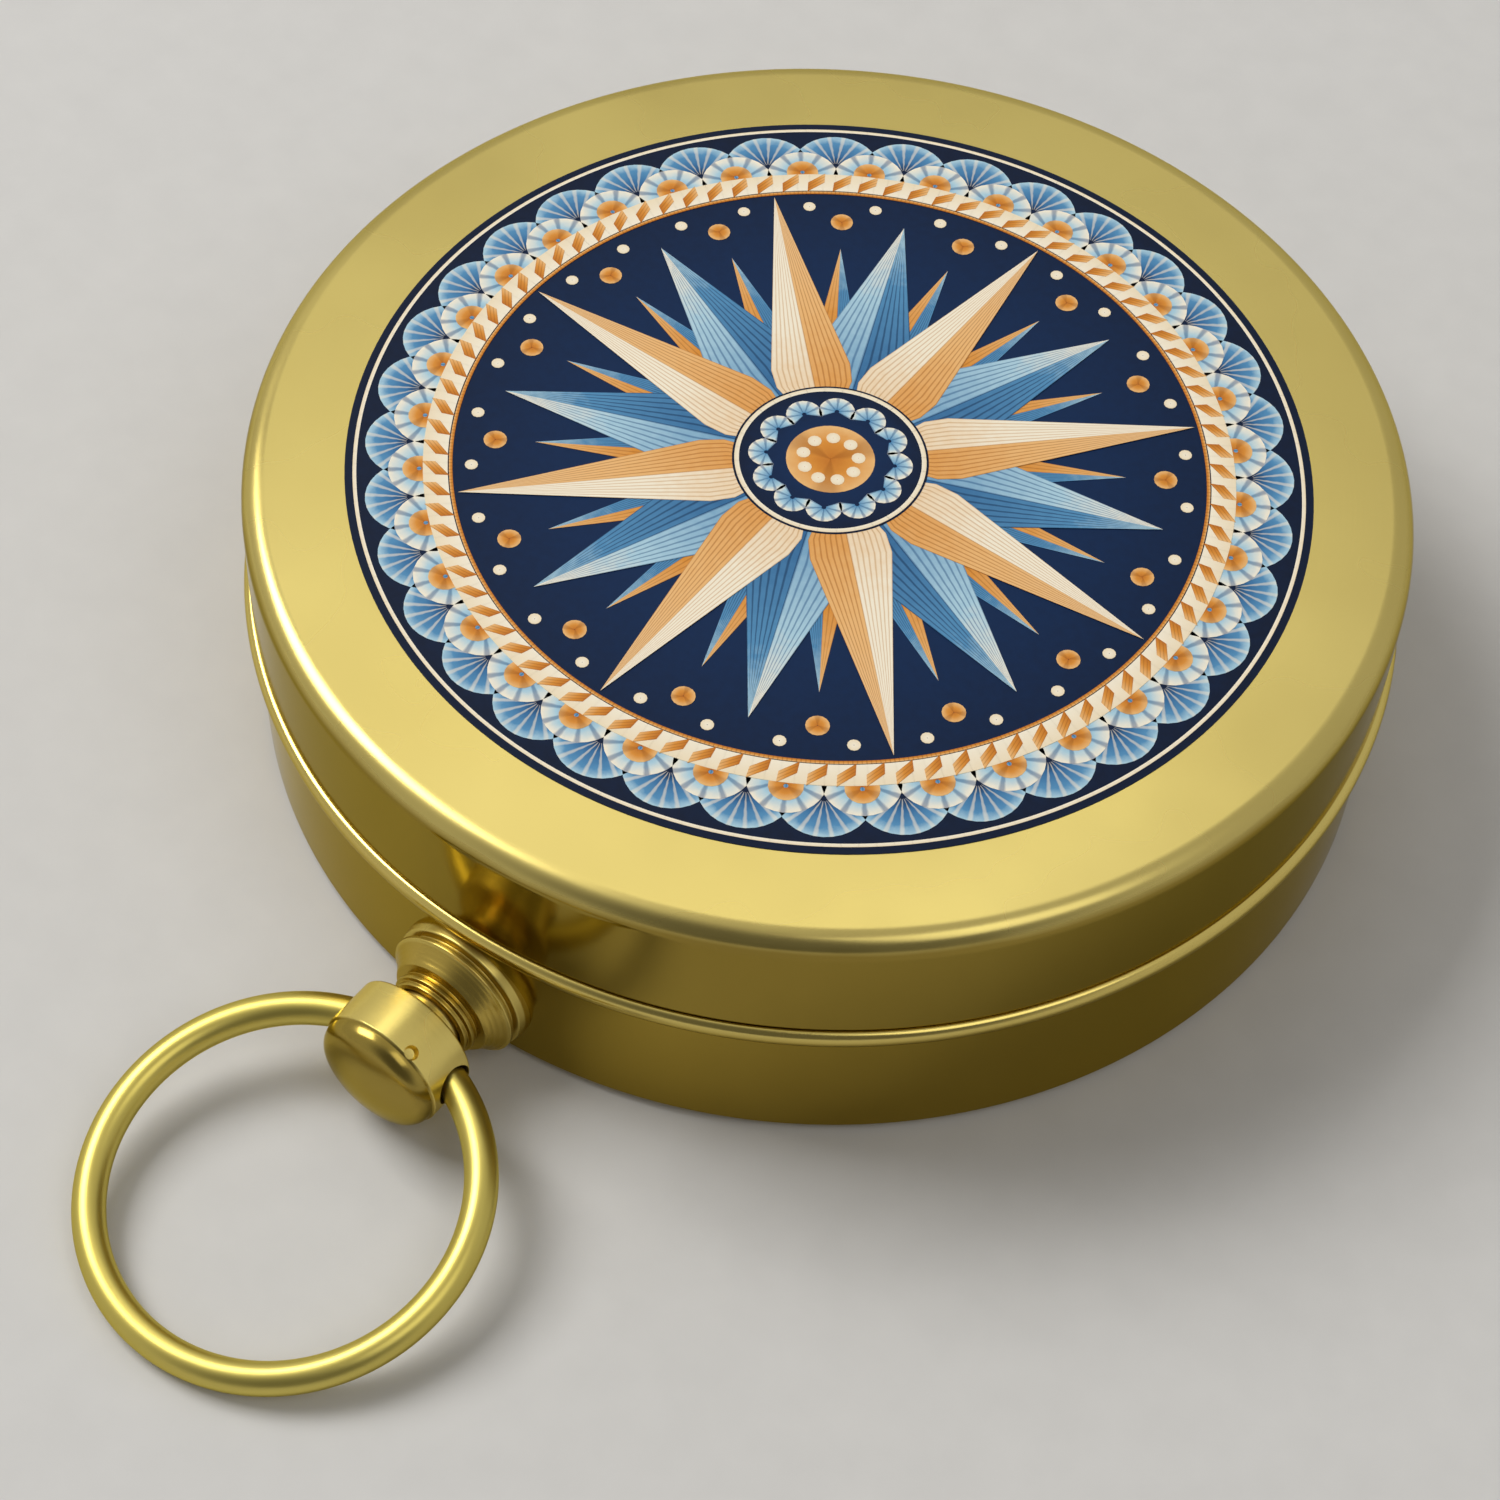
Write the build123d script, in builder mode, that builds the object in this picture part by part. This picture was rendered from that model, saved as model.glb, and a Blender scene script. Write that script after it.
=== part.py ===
from build123d import *
import math
import os

# Pocket compass in millimetres. It stands on z = 0 with the case on the Z axis.
# The neck points along -Y and the hinge lies at +Y. A "reach" is a distance from the case axis.

# Base: a drawn cup with a bead at the seam, a wall that leans in and a bevelled foot
base_height = 7.9
base_wall = 1.3
base_floor = 1.0
base_taper = 0.15
bead_height = 0.9
bead_proud = 0.35
foot_bevel = 0.35
foot_bevel_height = 0.5
foot_round = 0.15

# Lid: a drawn cap, with a catch ring inside its edge and a printed disc on top
lid_radius = 25.0
lid_height = 6.0
lid_wall = 0.8
lid_shoulder = 1.0
lid_overhang = 0.05
seam_gap = 0.08
rim_height = 0.8
rim_clearance = 0.3
print_radius = 20.6
print_thickness = 0.1

# Hinge: two knuckles on the base, one on the lid and a pin
knuckle_radius = 1.0
lid_knuckle_length = 4.0
case_knuckle_length = 2.6
knuckle_gap = 0.15
hinge_clearance = 0.12
hinge_pin_radius = 0.45
hinge_running_fit = 0.04
hinge_leaf_drop = 0.8
leaf_seam_gap = 0.12
pin_head_round = 0.2

# Neck: flange against the wall, hollow cone, a small ring and a lip
flange_margin = 0.3
flange_depth = 0.85
flange_edge = 0.25
cone_step = 0.15
cone_length = 1.6
cone_hollow = 0.1
neck_ring_proud = 0.2
neck_ring_step = 0.12
neck_ring_width = 0.35
neck_lip = 0.3
tube_wall = 0.37
nut_thickness = 0.5
nut_rim = 0.4
nut_floor_gap = 0.1
nut_notch = 0.5

# Knob, stem, spring and claw, which are pressed in together
press_travel = 0.5
press_spare = 0.2
drum_radius = 2.85
drum_length = 2.05
drum_edge = 0.12
dome_height = 1.5
dome_corner = 0.9
cross_hole_setback = 1.0
waist_overlap = 1.0
waist_running_fit = 0.08
stem_share = 0.5
stem_running_fit = 0.06
stem_socket_depth = 1.4
punch_radius = 0.28
punch_depth = 0.2
punch_angle = 40.0
spring_length = 2.6
spring_wire = 0.35
spring_turns = 3
spring_end_gap = 0.03
claw_width = 3.2
claw_thickness = 0.6
claw_drop = 1.2
claw_gap = 0.2
hook_height = 0.6
hook_rise = 0.1
hook_clearance = 0.25
hook_bevel = 0.25
claw_screw_share = 0.5
claw_screw_head_radius = 0.85
claw_screw_head = 0.4
claw_screw_depth = 1.2

# Bow: an open wire ring whose ends are sprung into the knob's cross hole
bow_radius = 7.95
bow_wire = 1.4
bow_end_reach = 2.4
bow_end_chamfer = 0.12
bow_running_fit = 0.08
bow_floor_gap = 0.02

# Inside: cup, dial, needle, glass and bezel
spring_room = 3.3
cup_wall = 0.8
cup_floor = 0.6
dial_thickness = 0.3
dial_edge_gap = 0.08
gasket_thickness = 0.2
crystal_thickness = 1.0
crystal_chamfer = 0.15
bezel_seat = 0.6
bezel_rise = 0.6
bezel_slope = 1.4
bezel_land = 0.8
bezel_round = 0.2
slot_clearance = 0.3
post_radius = 0.45
post_foot_radius = 1.4
post_foot = 0.3
post_taper = 1.0
post_tip_radius = 0.06
post_tip_rise = 0.12
pivot_gap = 0.06
needle_share = 0.8
needle_width = 2.6
needle_thickness = 0.25
needle_height_share = 0.53
needle_bearing = 18.0
hub_radius = 1.5
hub_spigot_radius = 1.0
hub_flange = 0.25
hub_cap = 0.5
hub_cap_radius = 1.3
jewel_radius = 0.7
jewel_height = 0.65
jewel_cup_radius = 0.5
weight_reach_share = 0.45
weight_length = 1.6
weight_wall = 0.25

# Lift spring: a steel band inside the base wall with a finger that throws the lid open
lift_thickness = 0.4
lift_wall_gap = 0.08
lift_band_height = 2.6
lift_band_bottom = 0.8
lift_start_angle = 34.0
lift_end_angle = 94.0
lift_finger_angle = 86.0
lift_screw_angle = 39.0
lift_screw_radius = 0.4
lift_screw_head_radius = 0.8
lift_screw_head = 0.45
lift_screw_depth = 0.5

# How far a cutting shape runs past what it cuts
overrun = 1.0

# Radii and heights that follow from the sizes above
base_radius = lid_radius - lid_overhang
bead_radius = base_radius + bead_proud
foot_radius = base_radius - base_taper
base_inner_radius = foot_radius - base_wall
bead_bottom = base_height - bead_height
lid_bottom = base_height + seam_gap
lid_top = base_height + lid_height
lid_inner_radius = lid_radius - lid_wall
rim_inner_radius = base_inner_radius + rim_clearance
rim_top = lid_bottom + rim_height

# Places along the neck's axis, which runs through the middle of the wall under the bead
pendant_height = bead_bottom / 2
flange_radius = pendant_height - flange_margin
flange_front = base_radius + flange_depth
neck_end = flange_front + cone_length
waist_end = neck_end - waist_overlap
spring_floor = waist_end - spring_length
nut_radius = pendant_height - base_floor - nut_floor_gap
spigot_radius = nut_radius - nut_rim
neck_ring_radius = spigot_radius + neck_ring_proud
socket_radius = spigot_radius - tube_wall
waist_radius = socket_radius - waist_running_fit
stem_radius = waist_radius * stem_share
stem_bore_radius = stem_radius + stem_running_fit
claw_screw_radius = stem_radius * claw_screw_share
nut_seat = math.sqrt(base_inner_radius**2 - nut_radius**2)
spigot_end = nut_seat - nut_thickness
claw_outer = spigot_end - claw_gap
claw_inner = claw_outer - claw_thickness
drum_start = neck_end + press_travel + press_spare
drum_end = drum_start + drum_length
dome_end = drum_end + dome_height
cross_hole_reach = drum_start + cross_hole_setback
stem_outer_end = waist_end + stem_socket_depth

# The bow's wire meets the middle of the cross hole at the drum's side and curves on inside it.
# Its plane turns about the cross hole until the far side of the wire lies on the ground.
bow_center = math.sqrt(bow_radius**2 - drum_radius**2)
bow_drop = pendant_height - bow_wire / 2 - bow_floor_gap
bow_droop = math.asin(bow_drop / (bow_center + bow_radius))
bow_end_offset = math.sqrt(bow_radius**2 - bow_end_reach**2) - bow_center
bow_end_slant = math.asin(bow_end_reach / bow_radius)
cross_hole_radius = bow_end_offset + bow_wire / 2 / math.cos(bow_end_slant) + bow_running_fit

# Levels inside the base
cup_radius = base_inner_radius - spring_room
cup_inner_radius = cup_radius - cup_wall
dial_bottom = base_floor + cup_floor
dial_top = dial_bottom + dial_thickness
crystal_top = base_height - bezel_seat
crystal_bottom = crystal_top - crystal_thickness
cup_top = crystal_bottom - gasket_thickness
bezel_top = base_height + bezel_rise
bezel_inner_radius = cup_radius - bezel_land
needle_bottom = dial_top + (crystal_bottom - dial_top) * needle_height_share
needle_top = needle_bottom + needle_thickness
needle_length = cup_inner_radius * needle_share
post_tip = needle_bottom + post_tip_rise
hub_bottom = needle_bottom - hub_flange
lift_outer_radius = base_inner_radius - lift_wall_gap
lift_inner_radius = lift_outer_radius - lift_thickness
lift_bottom = base_floor + lift_band_bottom
lift_middle = lift_bottom + lift_band_height / 2
hinge_reach = bead_radius + knuckle_radius + hinge_clearance
case_knuckle_start = lid_knuckle_length / 2 + knuckle_gap
hinge_half_length = case_knuckle_start + case_knuckle_length

# Working planes: across and along the neck, across the lift screw, and in the bow
neck_plane = Plane(origin=(0, 0, pendant_height), x_dir=(1, 0, 0), z_dir=(0, -1, 0))
neck_profile_plane = Plane(origin=(0, 0, pendant_height), x_dir=(0, -1, 0), z_dir=(-1, 0, 0))
neck_axis = Axis((0, 0, pendant_height), (0, -1, 0))
lift_screw_way = Vector(1, 0, 0).rotate(Axis.Z, lift_screw_angle)
lift_screw_plane = Plane(origin=(0, 0, lift_middle), z_dir=lift_screw_way)
bow_plane = Plane(
    origin=(0, -cross_hole_reach, pendant_height),
    x_dir=(-1, 0, 0),
    z_dir=(0, -math.sin(bow_droop), math.cos(bow_droop)),
)
needle_plane = Plane.XY.rotated((0, 0, needle_bearing))


def base_outline():
    """Outside of the base, from the middle of its underside to the seam."""
    Polyline(
        (0, 0),
        (foot_radius - foot_bevel, 0),
        (foot_radius, foot_bevel_height),
        (base_radius, bead_bottom),
    )
    ThreePointArc(
        (base_radius, bead_bottom),
        (bead_radius, (bead_bottom + base_height) / 2),
        (base_radius, base_height),
    )


def ring_sector(inner, outer, start, end):
    """Closed outline of a piece of a flat ring."""
    outside = CenterArc((0, 0), outer, start, end - start)
    inside = CenterArc((0, 0), inner, start, end - start)
    Line(outside @ 0, inside @ 0)
    Line(outside @ 1, inside @ 1)


# The whole space of the base, which trims what is soldered to its outside
with BuildPart() as base_space:
    with BuildSketch(Plane.XZ):
        with BuildLine():
            base_outline()
            Polyline((base_radius, base_height), (0, base_height), (0, 0))
        make_face()
    revolve(axis=Axis.Z)

# Base
with BuildPart() as case_base:
    with BuildSketch(Plane.XZ):
        with BuildLine():
            base_outline()
            Polyline(
                (base_radius, base_height),
                (base_inner_radius, base_height),
                (base_inner_radius, base_floor),
                (0, base_floor),
                (0, 0),
            )
        make_face()
    revolve(axis=Axis.Z)
    fillet(case_base.faces().sort_by(Axis.Z)[0].edges(), foot_round)
    with BuildSketch(neck_plane):
        Circle(spigot_radius)
    extrude(amount=base_radius + overrun, mode=Mode.SUBTRACT)
    with BuildSketch(lift_screw_plane):
        Circle(lift_screw_radius)
    extrude(amount=base_inner_radius + lift_screw_depth, mode=Mode.SUBTRACT)

# Neck, hollow for the spring and the knob's waist
with BuildPart() as pendant_neck:
    ring_end = neck_end - neck_lip
    ring_start = ring_end - neck_ring_width
    ring_root = neck_ring_radius - neck_ring_step
    flange_front_radius = flange_radius - flange_edge
    cone_start_radius = flange_front_radius - cone_step
    cone_middle = (flange_front + ring_start) / 2
    cone_middle_radius = (cone_start_radius + ring_root) / 2 - cone_hollow
    with BuildSketch(neck_profile_plane):
        with BuildLine():
            Polyline(
                (base_inner_radius, 0),
                (base_inner_radius, flange_radius),
                (base_radius, flange_radius),
                (flange_front, flange_front_radius),
                (flange_front, cone_start_radius),
            )
            ThreePointArc(
                (flange_front, cone_start_radius),
                (cone_middle, cone_middle_radius),
                (ring_start, ring_root),
            )
            Polyline(
                (ring_start, ring_root),
                (ring_start, neck_ring_radius),
                (ring_end, neck_ring_radius),
                (neck_end, spigot_radius),
                (neck_end, 0),
                (base_inner_radius, 0),
            )
        make_face()
    revolve(axis=neck_axis)
    add(base_space.part, mode=Mode.SUBTRACT)
    with BuildSketch(neck_plane.offset(spigot_end)):
        Circle(spigot_radius)
    extrude(amount=flange_front - spigot_end)
    with BuildSketch(neck_plane.offset(spigot_end)):
        Circle(stem_bore_radius)
    extrude(amount=neck_end - spigot_end, mode=Mode.SUBTRACT)
    with BuildSketch(neck_plane.offset(spring_floor)):
        Circle(socket_radius)
    extrude(amount=neck_end - spring_floor, mode=Mode.SUBTRACT)

# Ring nut on the neck's spigot, with two spanner notches
with BuildPart() as neck_nut:
    with BuildSketch(neck_plane.offset(spigot_end)):
        Circle(nut_radius)
        Rectangle(nut_notch, 2 * nut_radius, mode=Mode.SUBTRACT)
        Circle((nut_radius + spigot_radius) / 2)
        Circle(spigot_radius, mode=Mode.SUBTRACT)
    extrude(amount=nut_thickness)

# Knob: waist, drum and dome turned in one, with the cross hole and a punch mark
with BuildPart() as push_knob:
    dome_radius = drum_radius - drum_edge
    corner_height = dome_radius - dome_corner
    cap_radius = (dome_height**2 + corner_height**2 - dome_corner**2) / (2 * (dome_height - dome_corner))
    corner_share = dome_corner / (cap_radius - dome_corner)
    cap_edge = drum_end + (cap_radius - dome_height) * corner_share
    cap_edge_height = corner_height + corner_height * corner_share
    with BuildSketch(neck_profile_plane):
        with BuildLine():
            Polyline(
                (waist_end, 0),
                (waist_end, waist_radius),
                (drum_start, waist_radius),
                (drum_start, drum_radius - drum_edge),
                (drum_start + drum_edge, drum_radius),
                (drum_end, drum_radius),
                (drum_end, dome_radius),
            )
            TangentArc((drum_end, dome_radius), (cap_edge, cap_edge_height), tangent=(1, 0))
            TangentArc((dome_end, 0), (cap_edge, cap_edge_height), tangent=(0, 1))
            Line((dome_end, 0), (waist_end, 0))
        make_face()
    revolve(axis=neck_axis)
    with BuildSketch(neck_plane.offset(waist_end)):
        Circle(stem_radius)
    extrude(amount=stem_socket_depth, mode=Mode.SUBTRACT)
    with BuildSketch(Plane.YZ):
        with Locations((-cross_hole_reach, pendant_height)):
            Circle(cross_hole_radius)
    extrude(amount=drum_radius + overrun, both=True, mode=Mode.SUBTRACT)
    punch_way = Vector(0, 0, 1).rotate(Axis.Y, punch_angle)
    punch_reach = drum_end - 2 * punch_radius
    punch_origin = Vector(0, -punch_reach, pendant_height) + punch_way * drum_radius
    with BuildSketch(Plane(origin=punch_origin, z_dir=punch_way)):
        Circle(punch_radius)
    extrude(amount=-punch_depth, mode=Mode.SUBTRACT)

# Stem, fixed in the knob and drilled for the claw's screw
with BuildPart() as push_stem:
    with BuildSketch(neck_plane.offset(claw_outer)):
        Circle(stem_radius)
    extrude(amount=stem_outer_end - claw_outer)
    with BuildSketch(neck_plane.offset(claw_outer)):
        Circle(claw_screw_radius)
    extrude(amount=claw_screw_depth, mode=Mode.SUBTRACT)

# Return spring round the stem: each half turn is two arcs that meet without a corner
coil_radius = (stem_radius + socket_radius) / 2
coil_start = spring_floor + spring_end_gap + spring_wire / 2
coil_pitch = (spring_length - spring_wire - 2 * spring_end_gap) / spring_turns


def coil_point(turn):
    """A point on the middle of the spring's wire."""
    angle = 2 * math.pi * turn
    reach = coil_start + coil_pitch * turn
    return Vector(coil_radius * math.cos(angle), -reach, pendant_height + coil_radius * math.sin(angle))


def coil_way(turn):
    """The wire's direction at that point."""
    angle = 2 * math.pi * turn
    around = 2 * math.pi * coil_radius
    return Vector(-around * math.sin(angle), -coil_pitch, around * math.cos(angle)).normalized()


with BuildPart() as return_spring:
    with BuildLine() as spring_path:
        for half in range(2 * spring_turns):
            first, last = coil_point(half / 2), coil_point((half + 1) / 2)
            first_way, last_way = coil_way(half / 2), coil_way((half + 1) / 2)
            chord = last - first
            fall = 2 * chord.dot(first_way + last_way)
            bend = 2 * (first_way.dot(last_way) - 1)
            handle = (fall - math.sqrt(fall**2 - 4 * bend * chord.dot(chord))) / (2 * bend)
            leave, arrive = first + first_way * handle, last - last_way * handle
            joint = (leave + arrive) / 2
            TangentArc(first, joint, tangent=first_way)
            TangentArc(joint, last, tangent=(arrive - leave).normalized())
    spring_line = spring_path.wires()[0]
    with BuildSketch(Plane(origin=spring_line @ 0, z_dir=spring_line % 0)):
        Circle(spring_wire / 2)
    sweep(path=spring_line)

# Claw: a bent plate whose hook stands over the ring in the lid
with BuildPart() as catch_claw:
    hook_bottom = rim_top + hook_rise
    claw_top = hook_bottom + hook_height
    hook_tip = rim_inner_radius - hook_clearance
    with BuildSketch(Plane.YZ):
        with BuildLine():
            Polyline(
                (-claw_inner, pendant_height - claw_drop),
                (-claw_outer, pendant_height - claw_drop),
                (-claw_outer, hook_bottom),
                (-hook_tip, hook_bottom),
                (-hook_tip, claw_top - hook_bevel),
                (-hook_tip + hook_bevel, claw_top),
                (-claw_inner, claw_top),
                close=True,
            )
        make_face()
    extrude(amount=claw_width / 2, both=True)
    with BuildSketch(neck_plane.offset(claw_inner)):
        Circle(claw_screw_radius)
    extrude(amount=claw_thickness, mode=Mode.SUBTRACT)

with BuildPart() as claw_screw:
    with BuildSketch(neck_plane.offset(claw_inner - claw_screw_head)):
        Circle(claw_screw_head_radius)
    extrude(amount=claw_screw_head)
    with BuildSketch(neck_plane.offset(claw_inner)):
        Circle(claw_screw_radius)
    extrude(amount=claw_thickness + claw_screw_depth)

# Bow: one bent wire, open inside the knob
with BuildPart() as bow_ring:
    bow_gap_angle = math.degrees(bow_end_slant)
    bow_turn = 360 - 2 * bow_gap_angle
    with BuildLine(bow_plane, mode=Mode.PRIVATE) as bow_path:
        CenterArc((0, bow_center), bow_radius, bow_gap_angle - 90, bow_turn)
    bow_line = bow_path.wires()[0]
    with BuildSketch(Plane(origin=bow_line @ 0, z_dir=bow_line % 0)):
        Circle(bow_wire / 2)
    bow_middle = bow_plane.from_local_coords(Vector(0, bow_center, 0))
    revolve(axis=Axis(bow_middle, bow_plane.z_dir), revolution_arc=bow_turn)
    chamfer(bow_ring.faces().filter_by(GeomType.PLANE).edges(), bow_end_chamfer)

# Dial cup, dial and the glass over them
with BuildPart() as dial_cup:
    with BuildSketch(Plane.XY.offset(base_floor)):
        Circle(cup_radius)
    extrude(amount=cup_top - base_floor)
    with BuildSketch(Plane.XY.offset(dial_bottom)):
        Circle(cup_inner_radius)
    extrude(amount=cup_top - dial_bottom, mode=Mode.SUBTRACT)

with BuildPart() as dial_plate:
    with BuildSketch(Plane.XY.offset(dial_bottom)):
        Circle(cup_inner_radius - dial_edge_gap)
        Circle(post_radius, mode=Mode.SUBTRACT)
    extrude(amount=dial_thickness)

with BuildPart() as crystal_gasket:
    with BuildSketch(Plane.XY.offset(cup_top)):
        Circle(cup_radius)
        Circle(cup_inner_radius, mode=Mode.SUBTRACT)
    extrude(amount=gasket_thickness)

with BuildPart() as crystal:
    with BuildSketch(Plane.XY.offset(crystal_bottom)):
        Circle(cup_radius)
    extrude(amount=crystal_thickness)
    chamfer(crystal.edges(), crystal_chamfer)

# Bezel: sloped ring on the glass, slotted for the claw and for the lift spring's finger
with BuildPart() as bezel_ring:
    with BuildSketch(Plane.XZ):
        with BuildLine():
            Polyline(
                (bezel_inner_radius, crystal_top),
                (base_inner_radius, crystal_top),
                (base_inner_radius, bezel_top),
                (bezel_inner_radius + bezel_slope, bezel_top),
                close=True,
            )
        make_face()
    revolve(axis=Axis.Z)
    fillet(bezel_ring.faces().sort_by(Axis.Z)[-1].edges(), bezel_round)
    slot_inner = claw_inner - press_travel - slot_clearance
    slot_length = base_inner_radius + overrun - slot_inner
    with BuildSketch(Plane.XY.offset(crystal_top)):
        with Locations((0, -slot_inner - slot_length / 2)):
            Rectangle(claw_width + 2 * slot_clearance, slot_length)
    extrude(amount=bezel_top - crystal_top, mode=Mode.SUBTRACT)
    finger_spare_angle = math.degrees(slot_clearance / lift_inner_radius)
    with BuildSketch(Plane.XY.offset(crystal_top)):
        with BuildLine():
            ring_sector(
                lift_inner_radius - slot_clearance,
                base_inner_radius + overrun,
                lift_finger_angle - finger_spare_angle,
                lift_end_angle + finger_spare_angle,
            )
        make_face()
    extrude(amount=bezel_top - crystal_top, mode=Mode.SUBTRACT)

# Pointed post and the needle that turns on it
with BuildPart() as pivot_post:
    with BuildSketch(Plane.XZ):
        with BuildLine():
            Polyline(
                (0, dial_bottom),
                (post_radius, dial_bottom),
                (post_radius, dial_top),
                (post_foot_radius, dial_top),
                (post_foot_radius, dial_top + post_foot),
                (post_radius, dial_top + post_foot),
                (post_radius, post_tip - post_taper),
                (post_tip_radius, post_tip),
                (0, post_tip),
                close=True,
            )
        make_face()
    revolve(axis=Axis.Z)

with BuildPart() as needle_blade:
    with BuildSketch(needle_plane.offset(needle_bottom)):
        with BuildLine():
            Polyline(
                (0, needle_length),
                (needle_width / 2, 0),
                (0, -needle_length),
                (-needle_width / 2, 0),
                close=True,
            )
        make_face()
        Circle(hub_spigot_radius, mode=Mode.SUBTRACT)
    extrude(amount=needle_thickness)

with BuildPart() as needle_hub:
    with BuildSketch(Plane.XZ):
        with BuildLine():
            Polyline(
                (0, hub_bottom + jewel_height),
                (jewel_radius, hub_bottom + jewel_height),
                (jewel_radius, hub_bottom),
                (hub_radius, hub_bottom),
                (hub_radius, needle_bottom),
                (hub_spigot_radius, needle_bottom),
                (hub_spigot_radius, needle_top),
                (hub_cap_radius, needle_top),
            )
            TangentArc((0, needle_top + hub_cap), (hub_cap_radius, needle_top), tangent=(1, 0))
            Line((0, needle_top + hub_cap), (0, hub_bottom + jewel_height))
        make_face()
    revolve(axis=Axis.Z)

with BuildPart() as needle_jewel:
    with BuildSketch(Plane.XZ):
        with BuildLine():
            Polyline(
                (0, post_tip + pivot_gap),
                (post_tip_radius, post_tip + pivot_gap),
                (jewel_cup_radius, hub_bottom),
                (jewel_radius, hub_bottom),
                (jewel_radius, hub_bottom + jewel_height),
                (0, hub_bottom + jewel_height),
                close=True,
            )
        make_face()
    revolve(axis=Axis.Z)

# Balance weight: a sleeve that slides on the needle's south arm
with BuildPart() as needle_weight:
    weight_reach = needle_length * weight_reach_share
    weight_inner_width = needle_width * (1 - (weight_reach - weight_length / 2) / needle_length)
    with BuildSketch(needle_plane.offset(needle_bottom - weight_wall)):
        with Locations((0, -weight_reach)):
            Rectangle(weight_inner_width + 2 * weight_wall, weight_length)
    extrude(amount=needle_thickness + 2 * weight_wall)
    with BuildSketch(needle_plane.offset(needle_bottom)):
        with Locations((0, -weight_reach)):
            Rectangle(weight_inner_width, weight_length)
    extrude(amount=needle_thickness, mode=Mode.SUBTRACT)

# Lift spring and its screw
with BuildPart() as lift_spring:
    with BuildSketch(Plane.XY.offset(lift_bottom)):
        with BuildLine():
            ring_sector(lift_inner_radius, lift_outer_radius, lift_start_angle, lift_end_angle)
        make_face()
    extrude(amount=lift_band_height)
    with BuildSketch(Plane.XY.offset(lift_bottom)):
        with BuildLine():
            ring_sector(lift_inner_radius, lift_outer_radius, lift_finger_angle, lift_end_angle)
        make_face()
    extrude(amount=rim_top - lift_bottom)
    with BuildSketch(lift_screw_plane):
        Circle(lift_screw_radius)
    extrude(amount=base_inner_radius, mode=Mode.SUBTRACT)

with BuildPart() as lift_screw:
    screw_face = math.sqrt(lift_inner_radius**2 - lift_screw_head_radius**2)
    with BuildSketch(lift_screw_plane.offset(screw_face - lift_screw_head)):
        Circle(lift_screw_head_radius)
    extrude(amount=lift_screw_head)
    with BuildSketch(lift_screw_plane.offset(screw_face)):
        Circle(lift_screw_radius)
    extrude(amount=base_inner_radius + lift_screw_depth - screw_face)

# Lid with the ring inside its edge and the printed disc on top
with BuildPart() as lid_shell:
    lid_underside = lid_top - lid_wall
    inner_shoulder = lid_shoulder - lid_wall
    with BuildSketch(Plane.XZ):
        with BuildLine():
            Line((lid_radius, lid_bottom), (lid_radius, lid_top - lid_shoulder))
            TangentArc(
                (lid_radius, lid_top - lid_shoulder),
                (lid_radius - lid_shoulder, lid_top),
                tangent=(0, 1),
            )
            Polyline(
                (lid_radius - lid_shoulder, lid_top),
                (0, lid_top),
                (0, lid_underside),
                (lid_inner_radius - inner_shoulder, lid_underside),
            )
            TangentArc(
                (lid_inner_radius - inner_shoulder, lid_underside),
                (lid_inner_radius, lid_underside - inner_shoulder),
                tangent=(1, 0),
            )
            Polyline(
                (lid_inner_radius, lid_underside - inner_shoulder),
                (lid_inner_radius, lid_bottom),
                (lid_radius, lid_bottom),
            )
        make_face()
    revolve(axis=Axis.Z)

with BuildPart() as lid_rim:
    with BuildSketch(Plane.XY.offset(lid_bottom)):
        Circle(lid_inner_radius)
        Circle(rim_inner_radius, mode=Mode.SUBTRACT)
    extrude(amount=rim_height)

with BuildPart() as lid_print:
    with BuildSketch(Plane.XY.offset(lid_top)):
        Circle(print_radius)
    extrude(amount=print_thickness)

# Hinge: each knuckle is a tube with a leaf that seats on the wall it is soldered to
with BuildPart() as case_knuckles:
    for knuckle_start in (case_knuckle_start, -hinge_half_length):
        with BuildSketch(Plane.YZ.offset(knuckle_start)):
            with Locations((hinge_reach, base_height)):
                Circle(knuckle_radius)
            with BuildLine():
                Polyline(
                    (hinge_reach, base_height - leaf_seam_gap),
                    (base_inner_radius, base_height - leaf_seam_gap),
                    (base_inner_radius, base_height - knuckle_radius - hinge_leaf_drop),
                    (hinge_reach, base_height - knuckle_radius),
                    close=True,
                )
            make_face()
            with Locations((hinge_reach, base_height)):
                Circle(hinge_pin_radius, mode=Mode.SUBTRACT)
        extrude(amount=case_knuckle_length)
    add(base_space.part, mode=Mode.SUBTRACT)

with BuildPart() as lid_knuckle:
    with BuildSketch(Plane.YZ):
        with Locations((hinge_reach, base_height)):
            Circle(knuckle_radius)
        with BuildLine():
            Polyline(
                (hinge_reach, base_height + leaf_seam_gap),
                (lid_inner_radius, base_height + leaf_seam_gap),
                (lid_inner_radius, base_height + knuckle_radius + hinge_leaf_drop),
                (hinge_reach, base_height + knuckle_radius),
                close=True,
            )
        make_face()
        with Locations((hinge_reach, base_height)):
            Circle(hinge_pin_radius + hinge_running_fit, mode=Mode.SUBTRACT)
    extrude(amount=lid_knuckle_length / 2, both=True)
    with BuildSketch():
        Circle(lid_radius)
    extrude(amount=lid_top, mode=Mode.SUBTRACT)

with BuildPart() as hinge_pin:
    with BuildSketch(Plane.YZ):
        with Locations((hinge_reach, base_height)):
            Circle(hinge_pin_radius)
    extrude(amount=hinge_half_length + pin_head_round, both=True)
    fillet(hinge_pin.edges().filter_by(GeomType.CIRCLE), pin_head_round)

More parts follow.
